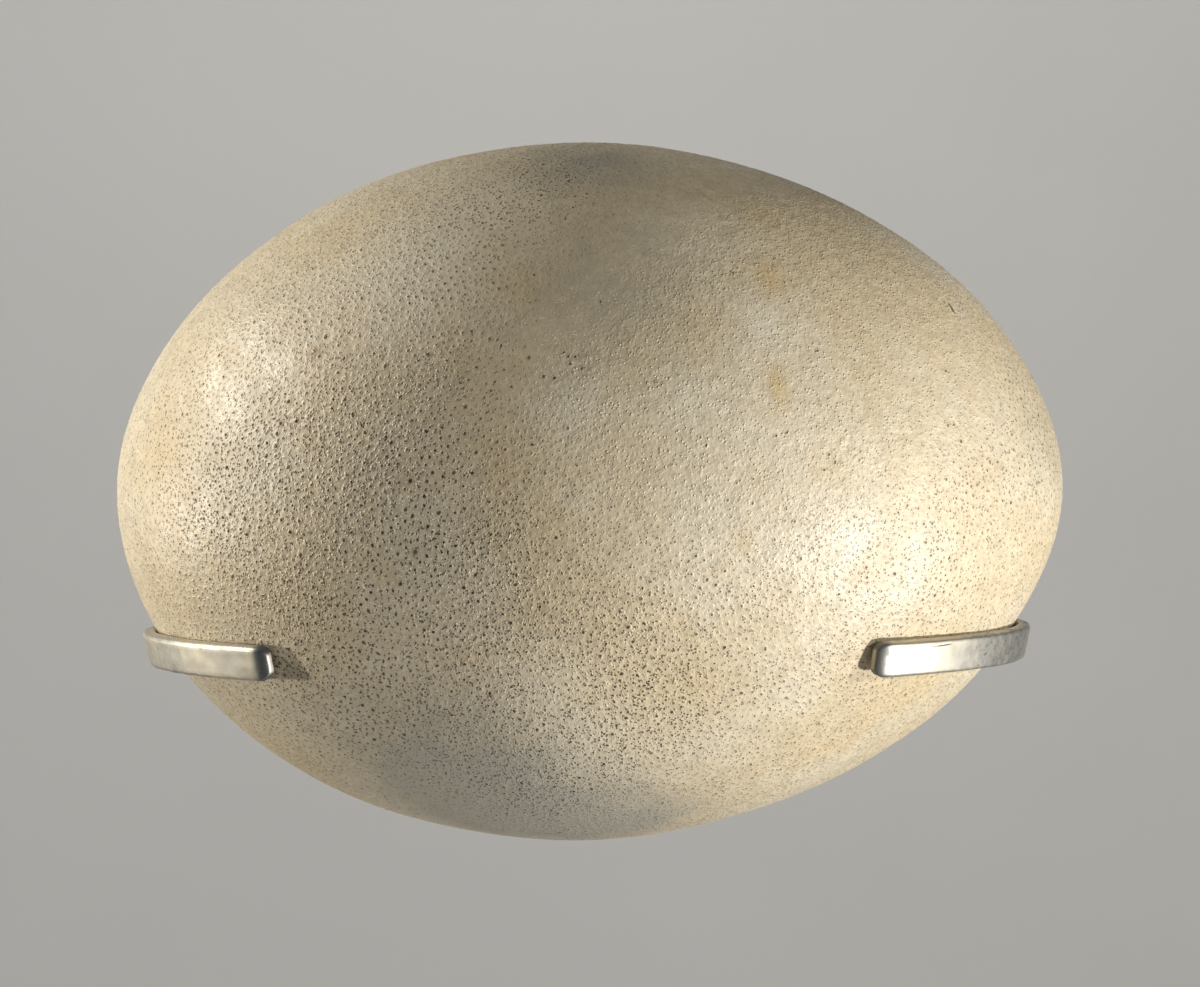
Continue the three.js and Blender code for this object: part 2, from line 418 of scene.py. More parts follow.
# Single dark pits: pixel across and down, and radius in mm
PITS = [
    # upper left
    (330.6, 333, 1.0), (363, 268, 0.6), (358, 269, 0.5), (334, 281, 0.5), (410, 282, 0.5),
    (389, 208, 0.5), (404, 178, 0.5),
    # upper middle
    (427, 262, 0.8), (436, 270, 0.7), (569, 206, 0.7), (567, 216, 0.6), (534, 243, 0.5),
    (539, 274.5, 0.6), (599, 299, 0.5), (508, 286, 0.4), (456, 297, 0.5), (568, 355, 0.8),
    (573.5, 359, 0.8), (569, 362, 0.6), (562, 351, 0.6), (586, 367, 0.6), (582, 371, 0.5),
    (528, 362, 0.5), (551, 377, 0.9), (542, 381, 0.6), (497, 344, 0.5), (502, 346, 0.5),
    (488, 337, 0.4), (470, 339, 0.4), (471, 333, 0.4), (455, 344, 0.5), (430, 354, 0.5),
    (430, 336, 0.4), (652, 380, 0.5), (464, 208, 0.5), (494, 222, 0.5), (451, 274, 0.5),
    (565, 175, 0.6), (543, 196, 0.5), (532, 165, 0.5),
    # upper right
    (946.5, 301, 0.7), (944, 366, 0.6), (852, 359, 0.5), (838, 369, 0.5), (876, 366, 0.5),
    (815, 348, 0.5), (883, 307, 0.5), (894, 270, 0.5), (790, 298, 0.5), (729, 274.5, 0.5),
    (772, 259, 0.4),
    # left
    (388, 436, 0.7), (392, 443, 0.6), (385, 461, 0.5), (369, 444, 0.5), (223.5, 449, 0.6),
    (210, 466.5, 0.5), (150, 461, 0.5), (290, 465, 0.6), (301, 465, 0.5), (294, 418, 0.5),
    (300, 405.5, 0.5), (203, 564, 0.6), (310, 509, 0.5), (331, 600, 0.5), (328, 555, 0.5),
    (412, 553, 0.5), (408, 481, 0.6), (269, 462, 0.5),
    # centre
    (469, 475, 0.9), (522, 525.5, 0.6), (554, 540, 0.7), (537, 554, 0.6), (545, 551, 0.6),
    (436, 536.5, 0.5), (440, 536.5, 0.5), (477, 575.5, 0.6), (542, 610.5, 0.9), (613, 569, 0.7),
    (611, 558, 0.5), (619, 596, 0.5), (645, 601, 0.5), (649, 601, 0.5), (610, 628, 0.6),
    (616, 625, 0.6), (621, 630, 0.5), (634, 646, 0.5), (572, 558, 0.5), (565, 495, 0.5),
    (697, 440, 0.6), (708, 440, 0.5), (690, 563, 0.7), (501, 454.5, 0.5), (494, 445, 0.5),
    (424, 460, 0.5), (424.5, 525.5, 0.5), (413, 553, 0.5),
    # right
    (756, 507, 0.6), (830, 455, 0.6), (835, 459, 0.6), (826, 468.5, 0.5), (726, 472, 0.5),
    (736, 482.5, 0.5), (726, 499, 0.4), (889, 483.5, 0.6), (953, 425, 0.6), (950, 428.5, 0.5),
    (962, 443.5, 0.5), (774, 435, 0.4), (783, 433, 0.4), (714.5, 615, 0.6), (754, 478, 0.4),
    # lower
    (617, 646, 0.5), (616, 655, 0.5), (601, 690.5, 0.6), (591, 695, 0.5), (665, 718, 0.7),
    (672, 715, 0.6), (683, 720, 0.5), (688, 720, 0.5), (700, 713, 0.5), (694, 704, 0.5),
    (677, 730.5, 0.5), (669, 733, 0.5), (688, 731, 0.4), (666, 762, 0.4), (691, 755, 0.4),
    (569.5, 779.5, 0.6), (575, 779, 0.5), (703, 674, 0.5), (647, 716, 0.4), (711, 785, 0.4),
    (715, 785, 0.4), (547, 685, 0.5), (487, 690, 0.5), (462, 678, 0.5), (339, 702, 0.5),
    (434, 752, 0.5),
]
# The shell's thin dark crack, from pixel to pixel
CRACK = ((946.5, 300.5), (956.5, 316))
# The right bar's dark scratch, from pixel to pixel
SCRATCH = ((929, 647.6), (958, 642.8))


def shell_mesh():
    """The egg with its pores: about 190,000 triangles, with a dimple at each pore."""
    sites = relaxed(even_sites(PORES), RELAXATIONS)
    sites, triangles = triangulate(sites)
    directions, faces = ringed(sites, triangles)
    site_count = len(sites)
    points = shell_points(directions)
    normals = shell_normals(directions)
    at_site = np.arange(len(points)) < site_count

    pimply = np.clip(patches(points, PIMPLY) + 0.10 * waves(points, 60 * MM), 0, 1)
    fine = np.clip(patches(points, FINE_PORED), 0, 1)
    pored = 1 - 0.9 * pimply
    coarse = np.clip(patches(points, COARSE_PORED), 0, 1)
    size = 0.81 + 0.02 * waves(points, 30 * MM) + 0.06 * coarse - 0.08 * fine - 0.28 * pimply
    size += random.normal(0, 0.08, len(points))
    pore = np.where(at_site, np.clip(size, 0, 1.05), 0)
    bumpy = np.clip(random.normal(0.5, 0.5, len(points)), 0, 1.6)

    relief = SWELL_HEIGHT * waves(points, 70 * MM)
    relief += RIDGE_HEIGHT * random.normal(0, 1, len(points))
    depth = PORE_DEPTH + (COARSE_PORE_DEPTH - PORE_DEPTH) * coarse
    relief -= np.where(at_site, depth * pored, 0)
    relief += np.where(at_site, PIMPLE_HEIGHT * bumpy * pimply, 0)

    for across, down, radius in PITS:
        distance = np.linalg.norm(points - seen_at(across, down), axis=1)
        nearest = np.argmin(np.where(at_site, distance, 1))
        pore[nearest] = 0.82 + 0.24 * radius
        relief[nearest] -= radius / 2 * MM

    mesh = bpy.data.meshes.new("egg_shell")
    final = in_frame(points + normals * relief[:, None])
    mesh.from_pydata(final.tolist(), [], faces.tolist())
    mesh.update()
    set_values(mesh, "pore", pore)
    set_values(mesh, "pimply", pimply)
    set_values(mesh, "coarse", coarse)
    for name, spots in (
        ("ochre", OCHRE),
        ("chalky", CHALKY),
        ("greyish", GREY_STAIN_AND_SHADE),
        ("rusty", RUSTY),
    ):
        set_values(mesh, name, patches(points, spots))
    mesh.shade_smooth()
    lay_out_map(mesh, directions, faces)
    return mesh


def set_values(mesh, name, values):
    attribute = mesh.attributes.new(name, "FLOAT", "POINT")
    attribute.data.foreach_set("value", np.asarray(values, np.float32))


def lay_out_map(mesh, directions, faces):
    """A map of six tiles, three across and two up, one for each side of a cube round the egg."""
    middle = directions[faces].sum(axis=1)
    axis = np.abs(middle).argmax(axis=1)
    positive = middle[np.arange(len(faces)), axis] > 0
    corners = directions[faces]
    depth = np.abs(np.take_along_axis(corners, axis[:, None, None].repeat(3, 1), axis=2))[:, :, 0]
    # The egg's long axis runs up a tile where the tile shows it.
    up_axis = np.where(axis == 0, 2, 0)
    across_axis = 3 - axis - up_axis
    tile = []
    for chosen in (across_axis, up_axis):
        value = np.take_along_axis(corners, chosen[:, None, None].repeat(3, 1), axis=2)[:, :, 0]
        tile.append(0.5 + 0.97 * np.arctan2(value, depth) / (math.pi / 2))
    column = axis[:, None]
    row = positive[:, None]
    uv = np.stack([(tile[0] + column) / 3, (tile[1] + row) / 2], axis=2)
    layer = mesh.uv_layers.new(name="OFBake")
    layer.data.foreach_set("uv", uv.reshape(-1).astype(np.float32))


def egg_reach(angle, height):
    """How far the egg reaches from its centre at a height above it, in a level direction."""
    near, far = 0.0, EGG_LENGTH
    heading = np.array([math.cos(angle), math.sin(angle), 0])
    for _ in range(HALVINGS):
        middle = (near + far) / 2
        point = in_egg((np.array(EGG_CENTRE) + heading * middle + [0, 0, height])[None])
        if depth_in_egg(point)[0] < 1:
            near = middle
        else:
            far = middle
    return near


def shell_beside_bar(angle):
    """The shell at a level angle round the egg, at the height of a bar's upper inner edge."""
    edge = BAR_HEIGHT / 2 * math.cos(BAR_LEAN) + BAR_THICKNESS / 2 * math.sin(BAR_LEAN)
    point = EGG_CENTRE.copy()
    for _ in range(3):
        rise = TIP_RISE * max(0, -math.sin(angle))
        height = edge + rise + point.x * math.tan(RING_TILT)
        reach = egg_reach(angle, height - EGG_CENTRE.z)
        point = EGG_CENTRE + Vector((math.cos(angle), math.sin(angle), 0)) * reach
        point.z = height
    return point


def section_axes(tangent, outwards):
    """Up a leaning bar's side, and out of it, where it runs along a tangent."""
    level = Vector((tangent.y, -tangent.x, 0)).normalized()
    if level.dot(outwards) < 0:
        level.negate()
    lean = BAR_LEAN - LEAN_CHANGE * min(1, max(-1, 2 * outwards.x / EGG_WIDTH))
    vertical = Vector((0, 0, 1))
    up = level * math.sin(lean) + vertical * math.cos(lean)
    out = level * math.cos(lean) - vertical * math.sin(lean)
    return up, out


def bar_middle(point, tangent, outwards):
    up, out = section_axes(tangent, outwards)
    level = Vector((out.x, out.y, 0)).normalized()
    return point + level * EGG_GAP - up * BAR_HEIGHT / 2 + out * BAR_THICKNESS / 2


def bar_knots(side, tip_angle):
    back = bar_middle(shell_beside_bar(math.pi / 2), Vector((1, 0, 0)), Vector((0, 1, 0)))
    knots = []
    for x in (BACK_END_X, BACK_STRAIGHT / 3, 2 * BACK_STRAIGHT / 3, BACK_STRAIGHT):
        knots.append(Vector((side * x, back.y, side * x * math.tan(RING_TILT))))
    steps = 20
    for k in range(steps + 1):
        angle = FIRST_ANGLE - (FIRST_ANGLE + tip_angle) * k / steps
        if side < 0:
            angle = math.pi - angle
        point = shell_beside_bar(angle)
        tangent = shell_beside_bar(angle + 0.01) - point
        knots.append(bar_middle(point, tangent, point - EGG_CENTRE))
    return knots


def smooth_curve(knots, per_span=12):
    """A centripetal Catmull-Rom curve through the knots, as many close points."""
    ends = [2 * knots[0] - knots[1], *knots, 2 * knots[-1] - knots[-2]]
    points = []
    for p0, p1, p2, p3 in zip(ends, ends[1:], ends[2:], ends[3:]):
        d0, d1, d2 = (math.sqrt((b - a).length) for a, b in ((p0, p1), (p1, p2), (p2, p3)))
        start = ((p1 - p0) / d0 - (p2 - p0) / (d0 + d1) + (p2 - p1) / d1) * d1
        end = ((p2 - p1) / d1 - (p3 - p1) / (d1 + d2) + (p3 - p2) / d2) * d1
        for k in range(per_span):
            t = k / per_span
            points.append(
                p1
                + start * t
                + (3 * (p2 - p1) - 2 * start - end) * t**2
                + (2 * (p1 - p2) + start + end) * t**3
            )
    points.append(knots[-1])
    return np.array(points)


def section(points_per_corner=7, points_per_side=(1, 7, 1, 7)):
    """A bar's rounded section, thickness across and height up, as offsets from its middle."""
    x = BAR_THICKNESS / 2 - BAR_EDGE_RADIUS
    y = BAR_HEIGHT / 2 - BAR_EDGE_RADIUS
    corners = []
    for corner, (cx, cy) in enumerate(((x, y), (-x, y), (-x, -y), (x, -y))):
        corners.append([])
        for k in range(points_per_corner):
            angle = math.pi / 2 * (corner + k / (points_per_corner - 1))
            across = cx + BAR_EDGE_RADIUS * math.cos(angle)
            corners[-1].append(Vector((across, cy + BAR_EDGE_RADIUS * math.sin(angle))))
    offsets = []
    for corner, count in enumerate(points_per_side):
        offsets += corners[corner]
        start = corners[corner][-1]
        end = corners[(corner + 1) % 4][0]
        offsets += [start.lerp(end, k / (count + 1)) for k in range(1, count + 1)]
    return offsets


def corner_loss(radius, distance):
    """What a rounded corner takes off a half width, at a distance from the end."""
    into = max(0, radius - distance)
    return radius - math.sqrt(radius**2 - into**2)


def bar_stations(length, body_steps=260, tip_steps=20):
    """Distances along a bar for its sections, which lie closer together at the rounded tip."""
    body = np.linspace(0, length - TIP_NOSE_LENGTH, body_steps)
    turns = math.pi / 2 * np.arange(1, tip_steps + 1) / tip_steps
    return np.concatenate([body, length - TIP_NOSE_LENGTH * (1 - np.sin(turns))])


def bar_mesh(name, side, tip_angle):
    """One bar of the holder, on the side -1 or 1, with the hole for its screw."""
    line = smooth_curve(bar_knots(side, tip_angle))
    run = running_total(np.linalg.norm(np.diff(line, axis=0), axis=1))
    length = run[-1]
    stations = bar_stations(length)
    offsets = section()
    vertices = []
    reflection_share = []
    side_share = []
    for station in stations:
        middle, ahead, behind = (
            Vector([np.interp(at, run, line[:, axis]) for axis in range(3)])
            for at in (station, min(length, station + MM), max(0, station - MM))
        )
        up, out = section_axes(ahead - behind, middle - EGG_CENTRE)
        left = length - station
        front_loss = corner_loss(TIP_NOSE_LENGTH, left) * TIP_NOSE_DEPTH / TIP_NOSE_LENGTH
        back_loss = corner_loss(TIP_BACK_RADIUS, left)
        low = 1 - 2 * corner_loss(TIP_CORNER_RADIUS, left) / BAR_HEIGHT
        for across, above in offsets:
            half = BAR_THICKNESS / 2
            from_back = (across * side + half) / BAR_THICKNESS
            outwards = from_back * (half - front_loss) - (1 - from_back) * (half - back_loss)
            vertices.append(middle + out * outwards + up * above * low)
        # Slate grey towards the tip: painted dark reflection with some tarnish, stopping just short of
        # the very end
        tip_reflection = smooth(left, *TIP_REFLECTION_EDGE) * smooth(left, *NOSE_EDGE) * TIP_REFLECTION_SHARE[side]
        reflection_share += [tip_reflection] * len(offsets)
        aged = smooth(side * middle.x, *AGED_EDGE) * AGED_SHARE[side]
        side_share += [aged] * len(offsets)
    count = len(offsets)
    faces = [tuple(reversed(range(count)))]
    for step in range(len(stations) - 1):
        for k in range(count):
            a = step * count + k
            b = step * count + (k + 1) % count
            faces.append((a, b, b + count, a + count))
    last = (len(stations) - 1) * count
    faces.append(tuple(range(last, last + count)))
    mesh = bpy.data.meshes.new(name)
    points = np.array(vertices)
    uneven = BAR_UNEVENNESS * waves(points, BAR_WAVES)[:, None]
    middles = points.reshape(len(stations), count, 3).mean(axis=1).repeat(count, axis=0)
    points += unit(points - middles + 1e-9) * uneven
    mesh.from_pydata(points.tolist(), [], faces)
    mesh.update()
    set_values(mesh, "near_tip", reflection_share)
    set_values(mesh, "at_side", side_share)
    mesh = with_screw_hole(mesh, side)
    mesh.shade_smooth()
    return mesh


def turned(name, profile, turns, middle, axes, open_end=False):
    """A form turned from rings of radius and height, about the last of three axes."""
    across, up, out = axes
    built = bmesh.new()
    rings = []
    for radius, height in profile:
        ring = []
        for k in range(turns):
            angle = 2 * math.pi * k / turns
            spoke = across * radius * math.cos(angle) + up * radius * math.sin(angle)
            ring.append(built.verts.new(middle + out * height + spoke))
        rings.append(ring)
    built.faces.new(rings[0])
    if not open_end:
        built.faces.new(rings[-1])
    for one, other in zip(rings, rings[1:]):
        for k in range(turns):
            built.faces.new((one[k - 1], one[k], other[k], other[k - 1]))
    bmesh.ops.recalc_face_normals(built, faces=built.faces)
    mesh = bpy.data.meshes.new(name)
    built.to_mesh(mesh)
    built.free()
    return mesh


def screw_cutter(side):
    """A closed form as large as a screw with its room, from before the bar to behind it."""
    back = bar_middle(shell_beside_bar(math.pi / 2), Vector((1, 0, 0)), Vector((0, 1, 0)))
    up, out = section_axes(Vector((1, 0, 0)), Vector((0, 1, 0)))
    middle = Vector((side * SCREW_X, back.y, side * SCREW_X * math.tan(RING_TILT)))
    head = SCREW_HEAD_RADIUS + SEAM
    shank = SCREW_RADIUS + SEAM
    front = -BAR_THICKNESS / 2
    profile = (
        (head, front - MM),
        (head, front),
        (shank, front + SCREW_HEAD_DEPTH),
        (shank, -front + MM),
    )
    return turned("screw_room", profile, 48, middle, (Vector((1, 0, 0)), up, out))


def with_screw_hole(mesh, side):
    """The bar's mesh with the countersunk hole for its screw cut out."""
    bar = bpy.data.objects.new("uncut_bar", mesh)
    room = bpy.data.objects.new("screw_room", screw_cutter(side))
    for part in (bar, room):
        bpy.context.scene.collection.objects.link(part)
    cut = bar.modifiers.new("hole", "BOOLEAN")
    cut.operation = "DIFFERENCE"
    cut.solver = "EXACT"
    cut.object = room
    made = bpy.data.meshes.new_from_object(bar.evaluated_get(bpy.context.evaluated_depsgraph_get()))
    made.name = mesh.name + "_cut"
    bpy.data.objects.remove(bar)
    bpy.data.objects.remove(room)
    return made


class Surface:
    """A material's nodes round its Principled shader. Patterns are laid out in metres."""

    def __init__(self, name):
        self.material = bpy.data.materials.new(name)
        self.material.use_nodes = True
        self.tree = self.material.node_tree
        self.shader = self.tree.nodes["Principled BSDF"]
        self.place = self.tree.nodes.new("ShaderNodeTexCoord").outputs["Object"]

    def give(self, socket, value):
        if isinstance(value, bpy.types.NodeSocket):
            self.tree.links.new(value, socket)
        elif isinstance(value, tuple) and len(value) == 3 and len(socket.default_value) == 4:
            socket.default_value = (*value, 1)
        else:
            socket.default_value = value

    def node(self, kind, inputs=(), **settings):
        made = self.tree.nodes.new(kind)
        for key, value in settings.items():
            setattr(made, key, value)
        for key, value in dict(inputs).items():
            self.give(made.inputs[key], value)
        return made

    def stretched(self, scale):
        mapping = self.node("ShaderNodeMapping", {"Vector": self.place, "Scale": scale})
        return mapping.outputs["Vector"]

    def noise(self, size, detail=3, roughness=0.5, distortion=0, place=None):
        inputs = {
            "Vector": place or self.place,
            "Scale": 1 / size,
            "Detail": detail,
            "Roughness": roughness,
            "Distortion": distortion,
        }
        return self.node("ShaderNodeTexNoise", inputs).outputs["Fac"]

    def cells(self, size, randomness=1):
        inputs = {"Vector": self.place, "Scale": 1 / size, "Randomness": randomness}
        return self.node("ShaderNodeTexVoronoi", inputs).outputs["Distance"]

    def streak(self, start, end, normal, width):
        """1 on an uneven long mark from start to end, and 0 beside it."""
        wavy = self.noise(1.5 * MM, 3, 0.6)
        along = (end - start).normalized()
        turn = Matrix((along, normal.cross(along), normal)).transposed().to_euler()
        size = ((end - start).length / 2, width / 2, MM)
        inputs = {
            "Vector": self.place,
            "Location": tuple((start + end) / 2),
            "Rotation": tuple(turn),
            "Scale": size,
        }
        local = self.node("ShaderNodeMapping", inputs, vector_type="TEXTURE").outputs["Vector"]
        far = self.node("ShaderNodeVectorMath", {0: local}, operation="LENGTH").outputs["Value"]
        return self.ramp(self.maths("ADD", far, wavy), 0.8, 1.4, 1, 0)

    def attribute(self, name):
        return self.node("ShaderNodeAttribute", attribute_name=name).outputs["Fac"]

    def ramp(self, value, low, high, start=0.0, end=1.0):
        inputs = {
            "Value": value,
            "From Min": low,
            "From Max": high,
            "To Min": start,
            "To Max": end,
        }
        made = self.node("ShaderNodeMapRange", inputs, interpolation_type="SMOOTHSTEP")
        return made.outputs["Result"]

    def maths(self, operation, first, second=0.0):
        made = self.node("ShaderNodeMath", {0: first, 1: second}, operation=operation)
        return made.outputs["Value"]

    def times(self, first, second):
        return self.maths("MULTIPLY", first, second)

    def mix(self, share, first, second, blend="MIX"):
        made = self.node("ShaderNodeMix", data_type="RGBA", blend_type=blend)
        self.give(made.inputs["Factor"], share)
        self.give(made.inputs[FIRST_COLOUR], first)
        self.give(made.inputs[SECOND_COLOUR], second)
        return made.outputs[MIXED_COLOUR]

    def bump(self, height, depth, strength=1.0, normal=None):
        inputs = {"Height": height, "Distance": depth, "Strength": strength}
        if normal:
            inputs["Normal"] = normal
        return self.node("ShaderNodeBump", inputs).outputs["Normal"]

    def finish(self, **sockets):
        for name, value in sockets.items():
            self.give(self.shader.inputs[name.replace("_", " ")], value)
        return self.material


def shell_material(crack_ends):
    made = Surface("pored_shell")
    cream = (0.61, 0.52, 0.36)
    pale = (0.65, 0.585, 0.45)
    buff = (0.58, 0.46, 0.28)
    pore_edge = (0.40, 0.29, 0.15)
    pore_shade = (0.06, 0.04, 0.022)
    pinhole_shade = (0.10, 0.065, 0.035)
    crack_shade = (0.03, 0.02, 0.012)

    # Ground colour
    broad = made.ramp(made.noise(46 * MM, 3, 0.55), 0.38, 0.66)
    colour = made.mix(broad, cream, pale)
    warm = made.ramp(made.noise(24 * MM, 4, 0.6), 0.5, 0.72)
    colour = made.mix(made.times(warm, 0.5), colour, buff)
    mottle = made.ramp(made.noise(4 * MM, 3, 0.6), 0.3, 0.7, 0.9, 1.07)
    grain = made.ramp(made.noise(1.1 * MM, 2, 0.6), 0.3, 0.7, 0.93, 1.05)
    colour = made.mix(1.0, colour, made.times(mottle, grain), "MULTIPLY")

    # Stains, and painted shade in the grey patches
    ragged = made.ramp(made.noise(5 * MM, 4, 0.65), 0.25, 0.5)
    cloudy = made.ramp(made.noise(14 * MM, 3, 0.5), 0.3, 0.6, 0.75, 1.0)
    stains = (
        ("ochre", (0.56, 0.42, 0.20), 0.95, ragged),
        ("chalky", (0.74, 0.70, 0.59), 0.9, ragged),
        # The grey patches are painted shade at the egg's top, bottom and right end as well as a grey
        # stain
        ("greyish", (0.28, 0.285, 0.26), 1.0, cloudy),
        ("rusty", (0.30, 0.18, 0.06), 1.0, ragged),
    )
    for name, stain, most, edges in stains:
        share = made.times(made.times(made.attribute(name), most), edges)
        share = made.ramp(share, 0, 1, 0, 0.85)
        colour = made.mix(share, colour, stain)

    # Pores of the mesh
    pore = made.attribute("pore")
    edge = made.times(made.ramp(pore, 0.25, 0.7), 0.25)
    colour = made.mix(edge, colour, pore_edge)
    hole = made.ramp(pore, 0.65, 0.76)
    coarse = made.attribute("coarse")
    filled = made.ramp(made.noise(3 * MM, 2, 0.5), 0.38, 0.62, 0.5, 1.0)
    shadowed = made.times(filled, made.ramp(coarse, 0, 0.8, 0.62, 1.0))
    dark = made.maths("MAXIMUM", shadowed, made.ramp(pore, 0.78, 0.9))
    colour = made.mix(made.times(hole, dark), colour, pore_shade)

    # Pinholes between them, which the pimply parts hardly have
    pimply = made.ramp(made.attribute("pimply"), 0.0, 0.7)
    pored = made.ramp(pimply, 0.0, 1.0, 1, 0.08)
    uneven = made.ramp(made.noise(2.6 * MM, 2, 0.5), 0.35, 0.65, -0.06, 0.06)
    wider = made.ramp(coarse, 0, 0.8, 0, 0.05)
    pinholes = made.maths("SUBTRACT", made.maths("ADD", made.cells(1.25 * MM), uneven), wider)
    small = made.times(made.ramp(pinholes, 0.14, 0.26, 1, 0), pored)
    light = made.ramp(coarse, 0, 0.8, 0.6, 0.9)
    colour = made.mix(made.times(small, light), colour, pinhole_shade)
    crack = made.streak(*crack_ends, 2.0 * MM)
    colour = made.mix(made.times(crack, 0.95), colour, crack_shade)

    # Relief
    unevenness = made.ramp(made.maths("MAXIMUM", made.times(pimply, 0.75), coarse), 0, 1, 0.3, 1.2)
    lumps = made.times(made.noise(2.2 * MM, 3, 0.65), unevenness)
    lumpy = made.bump(lumps, 0.3 * MM, 1.0)
    granular = made.bump(made.noise(0.9 * MM, 2, 0.6), 0.12 * MM, 1.0, lumpy)
    pimples = made.times(made.ramp(made.cells(1.4 * MM), 0.02, 0.34, 1, 0), unevenness)
    raised = made.bump(pimples, 0.24 * MM, 1.0, granular)
    rim = made.bump(made.ramp(pore, 0.3, 0.5), 0.07 * MM, 1.0, raised)
    dips = made.bump(small, -0.2 * MM, 1.0, rim)
    split = made.bump(crack, -0.2 * MM, 1.0, dips)
    sunk = made.bump(hole, -0.35 * MM, 1.0, split)
    rough = made.ramp(made.noise(12 * MM, 3), 0.3, 0.7, 0.42, 0.56)
    rough = made.maths("ADD", rough, hole)
    return made.finish(Base_Color=colour, Roughness=rough, Normal=sunk, Specular_IOR_Level=0.9)


def mark_ends(mesh, pixels):
    """Where a mark from pixel to pixel starts and ends on the mesh, and the normal there."""
    corners = [vertex.co for vertex in mesh.vertices]
    tree = BVHTree.FromPolygons(corners, [face.vertices for face in mesh.polygons])
    start, _, _, _ = tree.ray_cast(EYE, sight_line(*pixels[0]))
    end, normal, _, _ = tree.ray_cast(EYE, sight_line(*pixels[1]))
    return start, end, normal


def bar_material(scratch_ends):
    made = Surface("aged_satin_metal")
    cream = (0.56, 0.525, 0.44)
    silver = (0.47, 0.455, 0.41)
    bluish = (0.38, 0.40, 0.42)
    tarnish = (0.17, 0.19, 0.22)
    speck = (0.04, 0.04, 0.05)
    tip_reflection = (0.10, 0.115, 0.14)
    scratch_shade = (0.03, 0.028, 0.025)
    cloudy = made.ramp(made.noise(14 * MM, 3, 0.5), 0.35, 0.7)
    colour = made.mix(cloudy, cream, silver)
    side = made.attribute("at_side")
    colour = made.mix(made.times(side, 0.5), colour, bluish)
    stains = made.ramp(made.noise(3.5 * MM, 5, 0.65, 0.4), 0.46, 0.66)
    colour = made.mix(made.times(stains, made.ramp(side, 0, 1, 0.12, 0.6)), colour, tarnish)
    specks = made.ramp(made.noise(1.1 * MM, 3, 0.7), 0.58, 0.68)
    colour = made.mix(made.times(specks, made.ramp(side, 0, 1, 0.08, 0.75)), colour, speck)
    # Slate grey tips: painted dark reflection with some tarnish
    colour = made.mix(made.times(made.attribute("near_tip"), 0.85), colour, tip_reflection)
    scratch = made.streak(*scratch_ends, 0.5 * MM)
    colour = made.mix(made.times(scratch, 0.9), colour, scratch_shade)
    rough = made.ramp(made.noise(3 * MM, 4, 0.6), 0.3, 0.7, 0.46, 0.56)
    rough = made.maths("ADD", rough, made.times(stains, 0.1))
    uneven = made.bump(made.noise(5 * MM, 2, 0.5), 0.08 * MM, 0.5)
    worn = made.bump(made.noise(0.5 * MM, 3, 0.6), 0.02 * MM, 0.5, uneven)
    cut = made.bump(scratch, -0.1 * MM, 1.0, worn)
    return made.finish(Base_Color=colour, Metallic=1.0, Roughness=rough, Normal=cut)


def bracket_material(name, light, dark):
    made = Surface(name)
    grime = (0.10, 0.09, 0.08)
    cloudy = made.ramp(made.noise(14 * MM, 4, 0.6), 0.35, 0.7)
    colour = made.mix(cloudy, light, dark)
    stains = made.ramp(made.noise(4 * MM, 5, 0.7, 0.4), 0.58, 0.74)
    colour = made.mix(made.times(stains, 0.5), colour, grime)
    brushed = made.noise(0.6 * MM, 3, 0.6, place=made.stretched((1, 1, 0.06)))
    rough = made.ramp(brushed, 0.3, 0.7, 0.34, 0.5)
    lines = made.bump(brushed, 0.04 * MM, 0.5)
    return made.finish(Base_Color=colour, Metallic=1.0, Roughness=rough, Normal=lines)


def floor_material():
    made = Surface("pale_floor")
    tone = made.ramp(made.noise(0.6, 3, 0.5), 0.3, 0.7)
    colour = made.mix(tone, (0.66, 0.65, 0.63), (0.69, 0.68, 0.66))
    return made.finish(Base_Color=colour, Roughness=0.75)


def dressed(name, mesh, material, node):
    piece = bpy.data.objects.new(name, mesh)
    bpy.context.scene.collection.objects.link(piece)
    mesh.materials.append(material)
    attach(piece, "root")
    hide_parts(node)


shell = shell_mesh()
dressed("egg_shell", shell, shell_material(mark_ends(shell, CRACK)), "egg")
left_bar = bar_mesh("left_bar", -1, LEFT_TIP_ANGLE)
right_bar = bar_mesh("right_bar", 1, RIGHT_TIP_ANGLE)
bars = bar_material(mark_ends(right_bar, SCRATCH))
dressed("left_bar", left_bar, bars, "left_arm")
dressed("right_bar", right_bar, bars, "right_arm")

steel = bracket_material("brushed_bracket_steel", (0.42, 0.42, 0.40), (0.30, 0.30, 0.29))
screw_steel = bracket_material("screw_steel", (0.52, 0.51, 0.48), (0.38, 0.37, 0.35))
for node, material in (
    ("wall_bracket", steel),
    ("left_arm_screw", screw_steel),
    ("right_arm_screw", screw_steel),
):
    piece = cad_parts[node]
    piece.data.materials.clear()
    piece.data.materials.append(material)
    bevel = piece.modifiers.new("worn_edges", "BEVEL")
    bevel.width = WORN_EDGE[node]
    bevel.segments = 2
    bevel.limit_method = "ANGLE"
    bevel.angle_limit = math.radians(40)


def studio_floor():
    """A round floor that curves up into a low wall on every side."""
    profile = [(FLOOR_RADIUS / 2, FLOOR_LEVEL), (FLOOR_RADIUS, FLOOR_LEVEL)]
    steps = 16
    for k in range(1, steps + 1):
        angle = math.pi / 2 * k / steps
        radius = FLOOR_RADIUS + FLOOR_CURVE * math.sin(angle)
        profile.append((radius, FLOOR_LEVEL + FLOOR_CURVE * (1 - math.cos(angle))))
    profile.append((FLOOR_RADIUS + FLOOR_CURVE, FLOOR_LEVEL + FLOOR_CURVE + WALL_HEIGHT))
    mesh = turned("floor", profile, 96, Vector(), Matrix.Identity(3), open_end=True)
    mesh.shade_smooth()
    mesh.materials.append(floor_material())
    floor = bpy.data.objects.new("floor", mesh)
    bpy.context.scene.collection.objects.link(floor)


